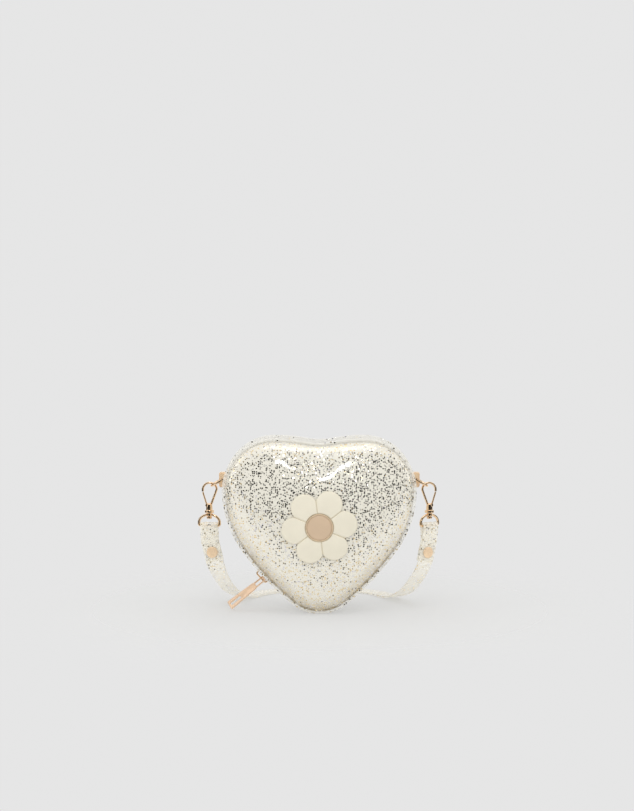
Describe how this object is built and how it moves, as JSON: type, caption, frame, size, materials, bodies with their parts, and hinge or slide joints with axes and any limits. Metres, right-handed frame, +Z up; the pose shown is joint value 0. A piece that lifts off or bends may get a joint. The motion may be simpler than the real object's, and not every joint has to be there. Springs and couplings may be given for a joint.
{
  "type": "heart-shaped jelly handbag",
  "caption": "Small heart-shaped handbag of clear glitter PVC with a zipped gusset, a flower badge and a short clip-on strap.",
  "frame": {"origin": "middle of the flat under the back flange's tip, on the surface that the bag stands on", "axes": "+X to the viewer's right, +Y from the front towards the back, +Z up"},
  "size_m": [0.1956, 0.1403, 0.1405],
  "materials": {
    "glitter_pvc": "clear soft PVC full of gold and silver glitter",
    "lining": "thin milky lining",
    "zip_tape": "woven tape",
    "zip_teeth": "nylon coil",
    "gold_metal": "polished pale rose gold plating",
    "petals": "cream soft PVC, satin",
    "badge_centre": "tan enamel"
  },
  "bodies": {
    "back": {"back_shell": "glitter_pvc", "back_gusset": "glitter_pvc", "back_lining": "lining", "zip_tape_back": "zip_tape", "zip_teeth_back": "zip_teeth", "zip_stop_back_left": "gold_metal", "zip_stop_back_right": "gold_metal", "tip_gusset": "glitter_pvc", "side_rivet_left": "gold_metal", "side_rivet_right": "gold_metal", "rivet_washer_left": "gold_metal", "rivet_washer_right": "gold_metal"},
    "front": {"front_shell": "glitter_pvc", "front_gusset": "glitter_pvc", "front_lining": "lining", "zip_tape_front": "zip_tape", "zip_teeth_front": "zip_teeth", "zip_stop_front_left": "gold_metal", "zip_stop_front_right": "gold_metal", "flower_petals": "petals", "flower_centre": "badge_centre", "flower_rim": "gold_metal"},
    "slider": {"zip_slider": "gold_metal", "slider_bail": "gold_metal"},
    "puller": {"zip_puller": "gold_metal"},
    "strap": {"strap": "glitter_pvc", "strap_rivet_left": "gold_metal", "strap_rivet_right": "gold_metal", "side_bracket_left": "gold_metal", "side_bracket_right": "gold_metal", "eye_left": "gold_metal", "eye_right": "gold_metal"},
    "dring_left": {"dring_left": "gold_metal"},
    "dring_right": {"dring_right": "gold_metal"},
    "hook_left": {"hook_left": "gold_metal", "gate_pin_left": "gold_metal"},
    "hook_right": {"hook_right": "gold_metal", "gate_pin_right": "gold_metal"},
    "gate_left": {"gate_left": "gold_metal"},
    "gate_right": {"gate_right": "gold_metal"}
  },
  "joints": [
    {"name": "front_open", "type": "hinge", "parent": "back", "child": "front", "pos_m": [0, -0.02795, 0.0025], "axis": [1, 0, 0], "range_deg": [0, 50]},
    {"name": "slider_travel", "type": "hinge", "parent": "back", "child": "slider", "pos_m": [0.12452, -0.025, 0.18487], "axis": [0, 1, 0], "range_deg": [0, 6.4]},
    {"name": "puller_swing", "type": "hinge", "parent": "slider", "child": "puller", "pos_m": [-0.04585, -0.025, 0.02576], "axis": [0.6769, 0, -0.7361], "range_deg": [-45, 45]},
    {"name": "strap_swing", "type": "hinge", "parent": "back", "child": "strap", "pos_m": [0, -0.0114, 0.1052], "axis": [1, 0, 0], "range_deg": [0, 165]},
    {"name": "dring_left_drop", "type": "hinge", "parent": "strap", "child": "dring_left", "pos_m": [-0.0786, -0.0114, 0.1052], "axis": [0, -1, 0], "range_deg": [0, 14]},
    {"name": "dring_right_drop", "type": "hinge", "parent": "strap", "child": "dring_right", "pos_m": [0.0786, -0.0114, 0.1052], "axis": [0, 1, 0], "range_deg": [0, 14]},
    {"name": "hook_left_swivel", "type": "hinge", "parent": "strap", "child": "hook_left", "pos_m": [-0.08906, -0.0114, 0.08034], "axis": [0, 0, 1], "range_deg": [-18, 18]},
    {"name": "hook_right_swivel", "type": "hinge", "parent": "strap", "child": "hook_right", "pos_m": [0.08906, -0.0114, 0.08034], "axis": [0, 0, 1], "range_deg": [-32, 4]},
    {"name": "gate_left_press", "type": "hinge", "parent": "hook_left", "child": "gate_left", "pos_m": [-0.09096, -0.0114, 0.08424], "axis": [0, 1, 0], "range_deg": [0, 25], "stiffness_Nm_per_rad": 0.01, "springref_deg": -20.05},
    {"name": "gate_right_press", "type": "hinge", "parent": "hook_right", "child": "gate_right", "pos_m": [0.0909, -0.01094, 0.08424], "axis": [0.2419, -0.9703, 0], "range_deg": [0, 25], "stiffness_Nm_per_rad": 0.01, "springref_deg": -20.05}
  ]
}
